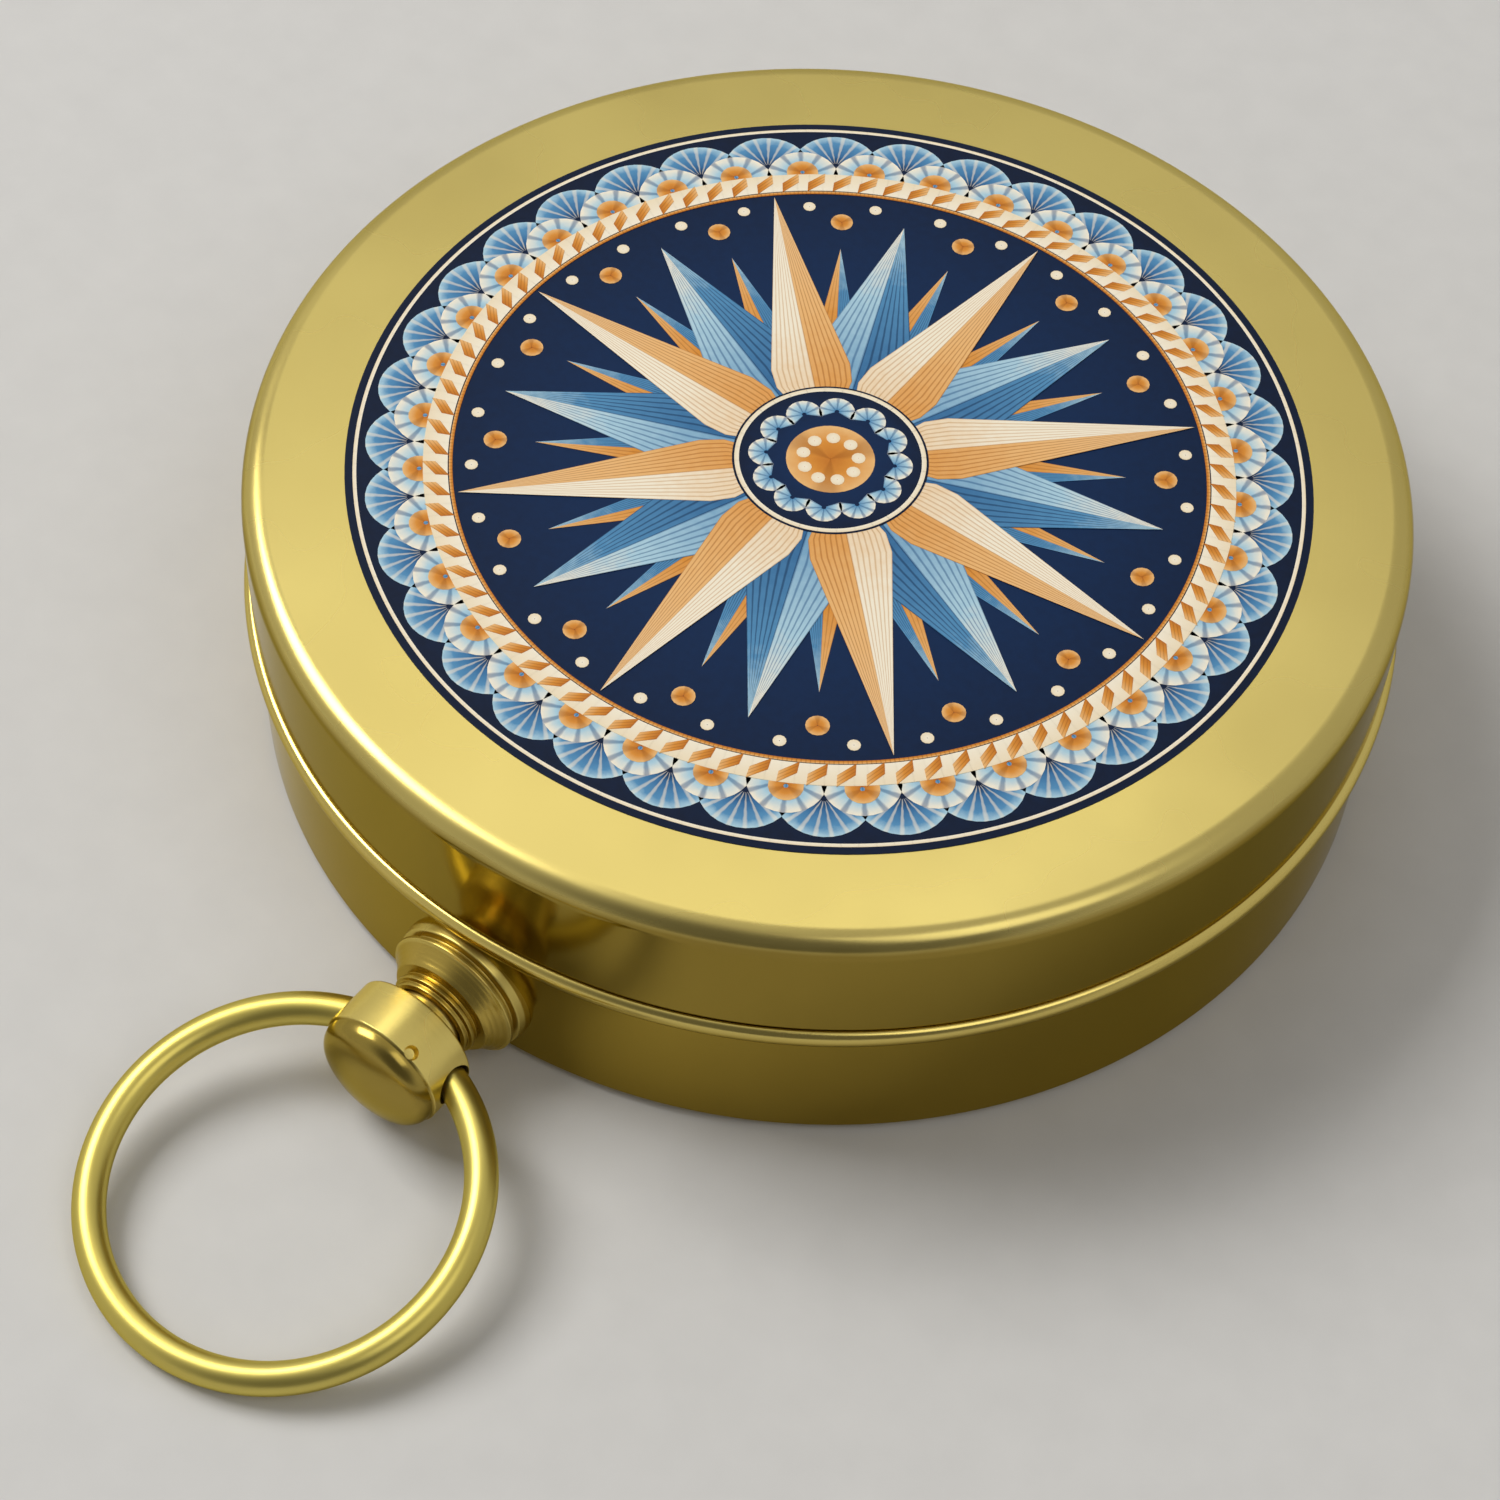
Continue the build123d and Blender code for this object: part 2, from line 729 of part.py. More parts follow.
pieces = {
    "case_base": case_base,
    "pendant_neck": pendant_neck,
    "neck_nut": neck_nut,
    "push_knob": push_knob,
    "push_stem": push_stem,
    "return_spring": return_spring,
    "catch_claw": catch_claw,
    "claw_screw": claw_screw,
    "bow_ring": bow_ring,
    "dial_cup": dial_cup,
    "dial_plate": dial_plate,
    "pivot_post": pivot_post,
    "needle_blade": needle_blade,
    "needle_hub": needle_hub,
    "needle_jewel": needle_jewel,
    "needle_weight": needle_weight,
    "crystal_gasket": crystal_gasket,
    "crystal": crystal,
    "bezel_ring": bezel_ring,
    "lift_spring": lift_spring,
    "lift_screw": lift_screw,
    "case_knuckles": case_knuckles,
    "lid_knuckle": lid_knuckle,
    "hinge_pin": hinge_pin,
    "lid_shell": lid_shell,
    "lid_rim": lid_rim,
    "lid_print": lid_print,
}

os.makedirs("parts", exist_ok=True)
for name, piece in pieces.items():
    piece.part.label = name
    export_step(piece.part, f"parts/{name}.step")
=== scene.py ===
import math

import bmesh
import bpy
from mathutils import Matrix, Vector


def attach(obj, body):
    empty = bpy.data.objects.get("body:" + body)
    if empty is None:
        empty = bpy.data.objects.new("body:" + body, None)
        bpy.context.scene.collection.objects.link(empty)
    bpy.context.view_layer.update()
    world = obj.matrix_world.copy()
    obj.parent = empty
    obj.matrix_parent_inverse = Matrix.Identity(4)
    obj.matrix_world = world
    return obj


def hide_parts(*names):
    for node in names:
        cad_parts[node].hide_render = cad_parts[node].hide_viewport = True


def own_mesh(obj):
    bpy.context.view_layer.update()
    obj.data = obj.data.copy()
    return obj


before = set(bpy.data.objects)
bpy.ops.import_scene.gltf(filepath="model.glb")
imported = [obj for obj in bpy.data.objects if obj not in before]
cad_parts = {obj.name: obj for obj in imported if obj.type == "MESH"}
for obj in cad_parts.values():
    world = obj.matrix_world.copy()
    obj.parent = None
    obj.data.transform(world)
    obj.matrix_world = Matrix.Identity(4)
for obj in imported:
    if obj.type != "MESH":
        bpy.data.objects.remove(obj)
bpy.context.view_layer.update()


# The base: a cup drawn from brass sheet and polished. Its wall leans in towards a flat foot, and a
# half-round bead is rolled along the seam that the lid closes on. The neck's spigot passes its wall.
mm = 0.001


def eased(corners, steps=7, hold=0.05):
    """Points of a closed outline of (radius, height, ease) corners, each rounded off by its ease."""
    points = []
    for i, (r, h, ease) in enumerate(corners):
        here = Vector((r, h))
        if not ease:
            points.append(here)
            continue
        before = Vector(corners[i - 1][:2]) - here
        after = Vector(corners[(i + 1) % len(corners)][:2]) - here
        u, v = before.normalized(), after.normalized()
        half = u.angle(v) / 2
        run = ease / math.tan(half)
        middle = here + (u + v).normalized() * ease / math.sin(half)
        first, last = here + u * run - middle, here + v * run - middle
        turn = first.angle_signed(last)
        if before.length > run + hold:
            points.append(here + u * (run + hold))
        for k in range(steps + 1):
            points.append(middle + Matrix.Rotation(-turn * k / steps, 2) @ first)
        if after.length > run + hold:
            points.append(here + v * (run + hold))
    return [(max(p.x, 0), p.y) for p in points]


def show(name, data):
    """An object at the origin for a finished mesh, curve, lamp or camera."""
    made = bpy.data.objects.new(name, data)
    bpy.context.scene.collection.objects.link(made)
    return made


def formed(name, bm):
    """An object at the origin for a finished bmesh, which is freed."""
    mesh = bpy.data.meshes.new(name)
    bm.to_mesh(mesh)
    bm.free()
    return show(name, mesh)


def settled(piece):
    """The mesh of a piece with its modifiers carried out."""
    bpy.context.view_layer.update()
    return bpy.data.meshes.new_from_object(piece.evaluated_get(bpy.context.evaluated_depsgraph_get()))


def turned(name, outline, sides=320):
    """A lathe piece about Z: a closed outline of (radius, height) points in millimetres, spun round."""
    bm = bmesh.new()
    turns = [2 * math.pi * i / sides for i in range(sides)]
    rings = []
    for r, h in outline:
        if r < 1e-6:
            rings.append([bm.verts.new((0, 0, h * mm))])
            continue
        rings.append([bm.verts.new((r * math.cos(a) * mm, r * math.sin(a) * mm, h * mm)) for a in turns])
    for ring, after in zip(rings, rings[1:] + rings[:1]):
        if len(ring) == 1 and len(after) == 1:
            continue
        for i in range(sides):
            pair = (i, (i + 1) % sides)
            loop = [ring[k % len(ring)] for k in pair] + [after[k % len(after)] for k in pair[::-1]]
            bm.faces.new(list(dict.fromkeys(loop)))
    bmesh.ops.recalc_face_normals(bm, faces=bm.faces)
    return formed(name, bm)


def rod(name, radius, start, end, sides=64):
    """A plain rod about Z, to cut with."""
    return turned(name, [(0, start), (radius, start), (radius, end), (0, end)], sides)


def cut(piece, tool):
    """Cuts the tool's shape out of a piece, and removes the tool."""
    step = piece.modifiers.new("cut", "BOOLEAN")
    step.operation = "DIFFERENCE"
    step.solver = "EXACT"
    step.object = tool
    mesh = settled(piece)
    piece.modifiers.remove(step)
    piece.data = mesh
    bpy.data.objects.remove(tool)


def knot(tree, kind, inputs, **marks):
    """One node, its inputs set to values or joined to other nodes' outputs."""
    made = tree.nodes.new(kind)
    for mark, value in marks.items():
        setattr(made, mark, value)
    for key, value in inputs.items():
        if isinstance(value, bpy.types.NodeSocket):
            tree.links.new(value, made.inputs[key])
        else:
            made.inputs[key].default_value = value
    return made


def sums(tree, operation, *values):
    """The result of one step of arithmetic."""
    return knot(tree, "ShaderNodeMath", dict(enumerate(values)), operation=operation).outputs["Value"]


def spread(tree, value, low, high, to_low, to_high, ease="LINEAR"):
    """A value's stretch from low to high, laid over another stretch."""
    ends = {"From Min": low, "From Max": high, "To Min": to_low, "To Max": to_high}
    made = knot(tree, "ShaderNodeMapRange", {"Value": value, **ends}, interpolation_type=ease)
    return made.outputs["Result"]


def clouds(tree, place, scale, detail):
    """Soft noise from 0 to 1 over a place."""
    inputs = {"Vector": place, "Scale": scale, "Detail": detail}
    return knot(tree, "ShaderNodeTexNoise", inputs).outputs["Fac"]


def mixed(tree, factor, colour, other, way="MIX"):
    """A colour joined with another one by a factor."""
    inputs = {"Factor": factor, 6: colour, 7: (*other, 1)}
    return knot(tree, "ShaderNodeMix", inputs, data_type="RGBA", blend_type=way).outputs[2]


def ramp(tree, factor, stops):
    """A colour ramp over a factor, of (place, linear colour) stops."""
    made = knot(tree, "ShaderNodeValToRGB", {"Fac": factor})
    bar = made.color_ramp.elements
    while len(bar) < len(stops):
        bar.new(0.5)
    for element, (place, colour) in zip(bar, stops):
        element.position = place
        element.color = (*colour, 1)
    return made.outputs["Color"]


def coat(name):
    """A new material, its node tree, its shader and the place on the piece."""
    made = bpy.data.materials.new(name)
    made.use_nodes = True
    tree = made.node_tree
    place = knot(tree, "ShaderNodeTexCoord", {}).outputs["Object"]
    return made, tree, tree.nodes["Principled BSDF"], place


def brass(name, light, deep, smooth, dull, lines, neck_axis=None, shade=None):
    """Polished metal: cloudy tint, smudged gloss, soft waves, and lathe lines round its axis. That is Z,
    or runs along Y at the height neck_axis. A shade of (low, high, tone, polish, wander) darkens it by
    the tone below a band along the axis, a painted shade for the dim reflections and shadow that fall
    there, and smooths it by polish; the band is in millimetres and its border wanders as hand polish does."""
    made, tree, shader, place = coat(name)
    along, across = ("Z", "Y") if neck_axis is None else ("Y", "Z")
    shader.inputs["Metallic"].default_value = 1
    shader.inputs["Specular Tint"].default_value = (*[c ** 0.4 for c in light], 1)
    tint = clouds(tree, place, scale=90, detail=2)
    colour = ramp(tree, tint, [(0.2, deep), (0.8, light)])
    smudge = clouds(tree, place, scale=130, detail=2)
    gloss = spread(tree, smudge, 0.2, 0.8, smooth, dull)
    if shade:
        low, high, tone, polish, wander = shade
        height = knot(tree, "ShaderNodeSeparateXYZ", {"Vector": place}).outputs[along]
        stray = sums(tree, "SUBTRACT", smudge, 0.5)
        border = sums(tree, "MULTIPLY_ADD", stray, wander * mm, height)
        below = spread(tree, border, low * mm, high * mm, 1, 0)
        # The tone darkens the colour below the band: painted shade for the dim reflections and shadow
        # there.
        colour = mixed(tree, below, colour, tone, "MULTIPLY")
        rubbed = spread(tree, border, low * mm, high * mm, polish, 1)
        gloss = sums(tree, "MULTIPLY", gloss, rubbed)
    tree.links.new(colour, shader.inputs["Base Color"])
    tree.links.new(gloss, shader.inputs["Roughness"])
    centred = knot(tree, "ShaderNodeMapping", {"Vector": place, "Location": (0, 0, -(neck_axis or 0))})
    split = knot(tree, "ShaderNodeSeparateXYZ", {"Vector": centred.outputs["Vector"]}).outputs
    flat = knot(tree, "ShaderNodeCombineXYZ", {"X": split["X"], "Y": split[across]})
    reach = knot(tree, "ShaderNodeVectorMath", {0: flat.outputs["Vector"]}, operation="LENGTH")
    groove = sums(tree, "ADD", reach.outputs["Value"], split[along])
    fine = {"W": groove, "Scale": 5200, "Detail": 3}
    line = knot(tree, "ShaderNodeTexNoise", fine, noise_dimensions="1D").outputs["Fac"]
    sway = clouds(tree, place, scale=95, detail=1)
    waves = knot(tree, "ShaderNodeBump", {"Height": sway, "Strength": 0.3, "Distance": 0.00006})
    marks = {"Height": line, "Strength": lines, "Distance": 0.00002, "Normal": waves.outputs["Normal"]}
    tree.links.new(knot(tree, "ShaderNodeBump", marks).outputs["Normal"], shader.inputs["Normal"])
    return made


def fit(piece, material, body, slot, *nodes, corner=35):
    """Shades a finished piece, gives it its material and body, and hides the CAD nodes it stands for."""
    piece.data.shade_smooth()
    piece.data.set_sharp_from_angle(angle=math.radians(corner))
    piece.data.materials.clear()
    piece.data.materials.append(material)
    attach(piece, body)
    if nodes:
        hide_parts(*nodes)


neck_height = 3.5
along_neck = Matrix.Translation((0, 0, neck_height * mm)) @ Matrix.Rotation(math.pi / 2, 4, "X")
# A darker tone for the case and lid walls: painted shade for the dim, shadowed floor they mirror.
wall_painted_shade = (0.52, 0.46, 0.29)
# Below 7.2 to 7.65 mm the wall, foot and the bead's lower half take that painted shade.
case_brass = brass(
    "case_brass", (0.70, 0.56, 0.17), (0.60, 0.46, 0.12), smooth=0.14, dull=0.24, lines=0.05,
    shade=(7.2, 7.65, wall_painted_shade, 0.7, 0.3),
)
foot_radius, wall_radius, wall_start, seam_radius, bead_radius = 24.45, 24.8, 0.5, 24.95, 25.3
bead_low, bead_high, bead_steps, base_inside, base_floor = 7.0, 7.9, 14, 23.5, 1.0
bead_middle, bead_half = (bead_low + bead_high) / 2, (bead_high - bead_low) / 2
bead = []
for k in range(bead_steps + 1):
    a = math.pi * k / bead_steps - math.pi / 2
    proud = (bead_radius - seam_radius) * math.cos(a)
    bead.append((seam_radius + proud, bead_middle + bead_half * math.sin(a), 0))
base_corners = [(0, 0, 0), (foot_radius, 0, 0.12), (wall_radius, wall_start, 0.08), *bead]
base_corners += [(base_inside, bead_high, 0.06), (base_inside, base_floor, 0.3), (0, base_floor, 0)]
base = turned("base_cup", eased(base_corners))
bore = rod("bore", radius=2.01, start=20, end=26)
bore.data.transform(along_neck)
cut(base, bore)
fit(base, case_brass, "case", "case_brass", "case_base")


# The neck: turned from brass bar, a flange against the wall, a groove and a rim, then a hollow cone
# with fine tool lines and a small ring at its mouth. Its spigot passes the wall, held by the ring nut.
# Past the rim the cone and mouth are darkened by the shade band: painted shade for their shadowed side.
neck_brass = brass(
    "neck_brass", (0.66, 0.52, 0.15), (0.54, 0.41, 0.1), smooth=0.2, dull=0.32, lines=0.14,
    neck_axis=neck_height * mm, shade=(-25.86, -25.8, (0.8, 0.74, 0.58), 0.9, 0),
)
cone_start, cone_end, cone_wide, cone_narrow = 25.8, 26.5, 3.0, 2.38
cone_steps, cone_sag, line_depth, line_steps = 12, 0.04, 0.02, (3, 6, 9)
cone = []
for k in range(cone_steps + 1):
    share = k / cone_steps
    sag = cone_sag * math.sin(math.pi * share)
    tool_line = line_depth if k in line_steps else 0
    radius = cone_wide + (cone_narrow - cone_wide) * share - sag - tool_line
    cone.append((radius, cone_start + (cone_end - cone_start) * share, 0))
spigot = [(0.84, 22.9, 0), (2.0, 22.9, 0.05), (2.0, 24.5, 0)]
flange = [(3.2, 24.5, 0), (3.2, 24.95, 0.1), (3.12, 25.28, 0.08)]
neck_groove = [(2.84, 25.36, 0.03), (2.84, 25.52, 0.03)]
neck_rim = [(3.08, 25.58, 0.04), (3.08, 25.76, 0.05)]
mouth_groove = [(2.34, 26.55, 0.05), (1.96, 26.62, 0.02), (1.96, 26.76, 0.03)]
mouth_ring = [(2.05, 26.82, 0.04), (2.05, 27.0, 0.05)]
mouth = [(1.88, 27.04, 0.03), (1.88, 27.24, 0.08), (1.7, 27.32, 0.03)]
socket = [(1.63, 27.24, 0), (1.63, 23.8, 0), (0.84, 23.8, 0)]
neck_corners = spigot + flange + neck_groove + neck_rim + cone + mouth_groove + mouth_ring + mouth + socket
neck = turned("neck_turning", eased(neck_corners), sides=160)
neck.data.transform(along_neck)
fit(neck, neck_brass, "case", "turned_brass", "pendant_neck")


# The push knob: turned from brass bar, a waist that slides in the neck, a drum with a sharp edge and
# a shallow dome. A hole crosses the drum for the ring's ends, and a punch has left one small mark.
def on_neck(reach):
    """The place on the neck's axis at a reach from the middle of the case."""
    return Matrix.Translation((0, -reach * mm, neck_height * mm))


# The dome is darkened by the shade band past the drum's edge: painted shade for the dim floor it mirrors.
knob_brass = brass(
    "knob_brass", (0.84, 0.68, 0.21), (0.72, 0.56, 0.15), smooth=0.2, dull=0.31, lines=0.12,
    neck_axis=neck_height * mm, shade=(-30.36, -30.3, (0.46, 0.42, 0.31), 0.8, 0),
)
waist_radius, waist_start = 1.55, 26.4
drum_radius, drum_start, drum_end, drum_edge, drum_steps = 2.85, 28.1, 30.4, 0.1, 6
dome_tip, dome_corner, corner_steps, cap_steps = 31.65, 0.8, 8, 13
dome_rise = dome_tip - drum_end
corner_middle = drum_radius - drum_edge - dome_corner
cap_radius = (dome_rise ** 2 + corner_middle ** 2 - dome_corner ** 2) / (2 * (dome_rise - dome_corner))
cap_middle = dome_tip - cap_radius
cap_turn = math.atan2(corner_middle, drum_end - cap_middle)
dome = []
for k in range(corner_steps + 1):
    a = math.pi / 2 - (math.pi / 2 - cap_turn) * k / corner_steps
    dome.append((corner_middle + dome_corner * math.sin(a), drum_end + dome_corner * math.cos(a), 0))
for k in range(1, cap_steps):
    a = cap_turn * (1 - k / cap_steps)
    dome.append((cap_radius * math.sin(a), cap_middle + cap_radius * math.cos(a), 0))
dome.append((0, dome_tip, 0))
waist = [(0, waist_start, 0), (waist_radius, waist_start, 0.1), (waist_radius, drum_start, 0.12)]
drum = [(drum_radius, drum_start, 0.08)]
for k in range(1, drum_steps):
    drum.append((drum_radius, drum_start + (drum_end - drum_start) * k / drum_steps, 0))
drum.append((drum_radius, drum_end - drum_edge, 0.03))
knob = turned("knob_turning", eased(waist + drum + dome), sides=192)
knob.data.transform(along_neck)
hole_reach = 29.1
cross_hole = rod("cross_hole", radius=0.92, start=-4, end=4)
cross_hole.data.transform(on_neck(hole_reach) @ Matrix.Rotation(math.pi / 2, 4, "Y"))
cut(knob, cross_hole)
punch_reach, punch_turn = 30.08, math.radians(32.5)
punch_outline = [(0, -0.28), (0.22, -0.26), (0.32, 0.0), (0.42, 0.06), (0.46, 0.14), (0, 0.14)]
punch = turned("punch", punch_outline, sides=32)
punch.data.transform(
    on_neck(punch_reach)
    @ Matrix.Rotation(punch_turn, 4, "Y")
    @ Matrix.Translation((0, 0, drum_radius * mm))
)
cut(knob, punch)
fit(knob, knob_brass, "knob", "turned_brass", "push_knob")


# The ring: drawn brass wire bent to an open circle, both ends sprung into the knob's cross hole. It
# lies on the ground with its far side down, and handling has left it duller than the case.
ring_brass = brass("ring_brass", (0.66, 0.55, 0.145), (0.56, 0.45, 0.1), smooth=0.28, dull=0.4, lines=0)
ring_radius, ring_wire, ring_end_out, ring_end_ease, ring_lift = 7.95, 1.4, 2.4, 0.15, 0.02
ring_middle = math.sqrt(ring_radius ** 2 - drum_radius ** 2)
ring_droop = math.asin((neck_height - ring_wire / 2 - ring_lift) / (ring_middle + ring_radius))
ring_gap = math.asin(ring_end_out / ring_radius)
ring_steps, wire_steps = 220, 28
ring_length = (2 * math.pi - 2 * ring_gap) * ring_radius
ring_bm = bmesh.new()
loops = []
for k in range(-1, ring_steps + 2):
    at_end = k in (-1, ring_steps + 1)
    run = min(max(k, 0), ring_steps) / ring_steps
    if k in (0, ring_steps):
        run += (0.5 - run) * 2 * ring_end_ease / ring_length
    a = ring_gap + (2 * math.pi - 2 * ring_gap) * run - math.pi / 2
    centre = Vector((ring_radius * math.cos(a), ring_middle + ring_radius * math.sin(a), 0))
    outward = Vector((math.cos(a), math.sin(a), 0))
    thick = ring_wire / 2 - (ring_end_ease if at_end else 0)
    loop = []
    for j in range(wire_steps):
        b = 2 * math.pi * j / wire_steps
        spoke = outward * math.cos(b) + Vector((0, 0, math.sin(b)))
        loop.append(ring_bm.verts.new((centre + spoke * thick) * mm))
    loops.append(loop)
for loop, after in zip(loops, loops[1:]):
    for j in range(wire_steps):
        i = (j + 1) % wire_steps
        ring_bm.faces.new((loop[j], loop[i], after[i], after[j]))
ring_bm.faces.new(loops[0])
ring_bm.faces.new(loops[-1])
bmesh.ops.recalc_face_normals(ring_bm, faces=ring_bm.faces)
ring = formed("bow_wire", ring_bm)
ring.data.transform(
    on_neck(hole_reach) @ Matrix.Rotation(ring_droop, 4, "X") @ Matrix.Rotation(math.pi, 4, "Z")
)
fit(ring, ring_brass, "bow", "wire_brass", "bow_ring")


# The lid: drawn from brass sheet, flat on top with a rounded shoulder and a straight wall. The top
# has been brushed to a satin finish and the wall polished, so the two take the light differently.
# The wall and lower shoulder are also darkened in colour, a painted shade for the dim reflections there.
# Below 13.15 to 13.5 mm the colour is darkened: painted shade on the wall and lower shoulder.
lid_brass = brass(
    "lid_brass", (0.63, 0.51, 0.165), (0.55, 0.435, 0.13), smooth=0.22, dull=0.34, lines=0.03,
    shade=(13.15, 13.5, wall_painted_shade, 0.45, 0.5),
)
lid_radius, lid_wall, lid_low, lid_high, lid_shoulder = 25.0, 0.8, 7.98, 13.9, 1.0
lid_inside = lid_radius - lid_wall
lid_under = lid_high - lid_wall
lid_corners = [(lid_radius, lid_low, 0.12), (lid_radius, lid_high, lid_shoulder), (0, lid_high, 0)]
lid_corners += [(0, lid_under, 0), (lid_inside, lid_under, 0.4), (lid_inside, lid_low, 0.08)]
lid = turned("lid_cover", eased(lid_corners, steps=14))
fit(lid, lid_brass, "lid", "case_brass", "lid_shell")


# The print: a thin disc laid on the lid, printed in navy, cream, orange and blues with a plain
# traditional wind rose, rings of scallops and a rope border. Its inks stand as thin layers.
def ink(name, stops, line_count=0, line_colour=(0, 0, 0), line_share=0.0):
    """Matt printing ink: a ramp of colours along the shape, with fine engraved lines along it."""
    made, tree, shader, place = coat(name)
    shader.inputs["Roughness"].default_value = 0.5
    shader.inputs["Specular IOR Level"].default_value = 0.15
    chart = knot(tree, "ShaderNodeUVMap", {}, uv_map="print")
    split = knot(tree, "ShaderNodeSeparateXYZ", {"Vector": chart.outputs["UV"]}).outputs
    speck = clouds(tree, place, scale=2600, detail=3)
    drift = spread(tree, speck, 0.3, 0.7, -0.05, 0.05)
    along = knot(tree, "ShaderNodeMath", {0: split["X"], 1: drift}, operation="ADD", use_clamp=True)
    colour = ramp(tree, along.outputs["Value"], stops)
    if line_count:
        ruled = sums(tree, "MULTIPLY", split["Y"], line_count)
        saw = sums(tree, "PINGPONG", ruled, 0.5)
        fine = spread(tree, saw, 0.08, 0.2, line_share, 0)
        colour = mixed(tree, fine, colour, line_colour)
    tree.links.new(colour, shader.inputs["Base Color"])
    return made


def raised(name, rows, top, low):
    """A thin flat shape from rows of (x, y) points, with walls down to a lower height and a UV map."""
    bm = bmesh.new()
    chart = bm.loops.layers.uv.new("print")
    found = {}

    def corner(i, j, height):
        x, y = rows[i][j]
        key = (round(x, 6), round(y, 6), height)
        if key not in found:
            found[key] = bm.verts.new((x * mm, y * mm, height * mm))
        return found[key]

    last, wide = len(rows) - 1, len(rows[0]) - 1
    quads = []
    for i in range(last):
        for j in range(wide):
            ring_of_four = [(i, j), (i + 1, j), (i + 1, j + 1), (i, j + 1)]
            quads.append([(a, b, top) for a, b in ring_of_four])
            quads.append([(a, b, low) for a, b in ring_of_four[::-1]])
    edge = [(i, 0) for i in range(last + 1)] + [(last, j) for j in range(1, wide + 1)]
    edge += [(i, wide) for i in range(last - 1, -1, -1)] + [(0, j) for j in range(wide - 1, -1, -1)]
    closed = math.dist(rows[last][0], rows[last][wide]) < 1e-5
    for (a, b), (c, d) in zip(edge, edge[1:]):
        if closed and a != c:
            continue
        quads.append([(a, b, top), (a, b, low), (c, d, low), (c, d, top)])
    for quad in quads:
        verts = {}
        for a, b, height in quad:
            verts.setdefault(corner(a, b, height), (a / last, b / wide))
        if len(verts) < 3 or bm.faces.get(list(verts)):
            continue
        face = bm.faces.new(list(verts))
        for loop in face.loops:
            loop[chart].uv = verts[loop.vert]
    bmesh.ops.recalc_face_normals(bm, faces=bm.faces)
    return formed(name, bm)


def ring_tree():
    """A rule that sets copies of a shape round a circle, each turned to face outward."""
    tree = bpy.data.node_groups.new("ring_of_shapes", "GeometryNodeTree")
    sockets = {"Shape": "Geometry", "Count": "Int", "Radius": "Float", "Start": "Float", "Ink": "Material"}
    for label, kind in sockets.items():
        tree.interface.new_socket(label, in_out="INPUT", socket_type="NodeSocket" + kind)
    tree.interface.new_socket("Ring", in_out="OUTPUT", socket_type="NodeSocketGeometry")
    given = tree.nodes.new("NodeGroupInput").outputs
    index = knot(tree, "GeometryNodeInputIndex", {}).outputs[0]
    part = sums(tree, "DIVIDE", 2 * math.pi, given["Count"])
    step = sums(tree, "MULTIPLY_ADD", index, part, given["Start"])
    east, north = sums(tree, "COSINE", step), sums(tree, "SINE", step)
    ray = knot(tree, "ShaderNodeCombineXYZ", {"X": east, "Y": north}).outputs[0]
    scaled = {0: ray, "Scale": given["Radius"]}
    place = knot(tree, "ShaderNodeVectorMath", scaled, operation="SCALE").outputs[0]
    points = knot(tree, "GeometryNodePoints", {"Count": given["Count"], "Position": place}).outputs[0]
    euler = knot(tree, "ShaderNodeCombineXYZ", {"Z": step}).outputs[0]
    facing = knot(tree, "FunctionNodeEulerToRotation", {0: euler}).outputs[0]
    set_out = {"Points": points, "Instance": given["Shape"], "Rotation": facing}
    copies = knot(tree, "GeometryNodeInstanceOnPoints", set_out).outputs[0]
    real = knot(tree, "GeometryNodeRealizeInstances", {"Geometry": copies}).outputs[0]
    inked = knot(tree, "GeometryNodeSetMaterial", {"Geometry": real, "Material": given["Ink"]}).outputs[0]
    tree.links.new(inked, tree.nodes.new("NodeGroupOutput").inputs["Ring"])
    return tree


ring_rule = ring_tree()


def ring_of(shape, count, radius, start, material):
    """Sets copies of a shape round the disc by the rule above, and leaves one plain mesh."""
    step = shape.modifiers.new("ring", "NODES")
    step.node_group = ring_rule
    sizes = {"Count": count, "Radius": radius * mm, "Start": math.radians(start), "Ink": material}
    for socket in ring_rule.interface.items_tree:
        if socket.in_out == "INPUT" and socket.name in sizes:
            step[socket.identifier] = sizes[socket.name]
    shape.update_tag()
    mesh = settled(shape)
    shape.modifiers.remove(step)
    shape.data = mesh
    return shape


def printed(rings, body, slot, node):
    """Prints a table of rings, each (shape, count, radius, start in degrees, ink)."""
    for shape, count, radius, start, material in rings:
        fit(ring_of(shape, count, radius, start, material), material, body, slot, node, corner=20)


def spear(name, length, foot, widest, half, side, top, low, rows=14, columns=5):
    """One half of a pointed ray along X, on side 1 or -1, widest part of the way out from its foot."""
    grid = []
    for i in range(rows + 1):
        run = i / rows
        x = foot + (length - foot) * run
        edge = half * (run / widest if run < widest else (1 - run) / (1 - widest))
        grid.append([(x, edge * (side * j / columns)) for j in range(columns + 1)])
    return raised(name, grid, top, low)


def fan(name, inner, outer, half_turn, top, low, rows, columns):
    """A fan-shaped sector along X, from its inner to its outer radius, half_turn degrees to each side."""
    turns = [math.radians(half_turn) * (2 * j / columns - 1) for j in range(columns + 1)]
    grid = []
    for i in range(rows + 1):
        r = inner + (outer - inner) * i / rows
        grid.append([(r * math.cos(a), r * math.sin(a)) for a in turns])
    return raised(name, grid, top, low)


def lozenge(name, length, width, slant, top, low):
    """A small slanted bar across X."""
    corners = [[(-length / 2, slant), (0, width / 2)], [(0, -width / 2), (length / 2, -slant)]]
    return raised(name, corners, top, low)


def srgb(r, g, b):
    """A colour written in 0 to 255 steps, as linear light."""
    return tuple(((c / 255 + 0.055) / 1.055) ** 2.4 if c > 10 else c / 255 / 12.92 for c in (r, g, b))


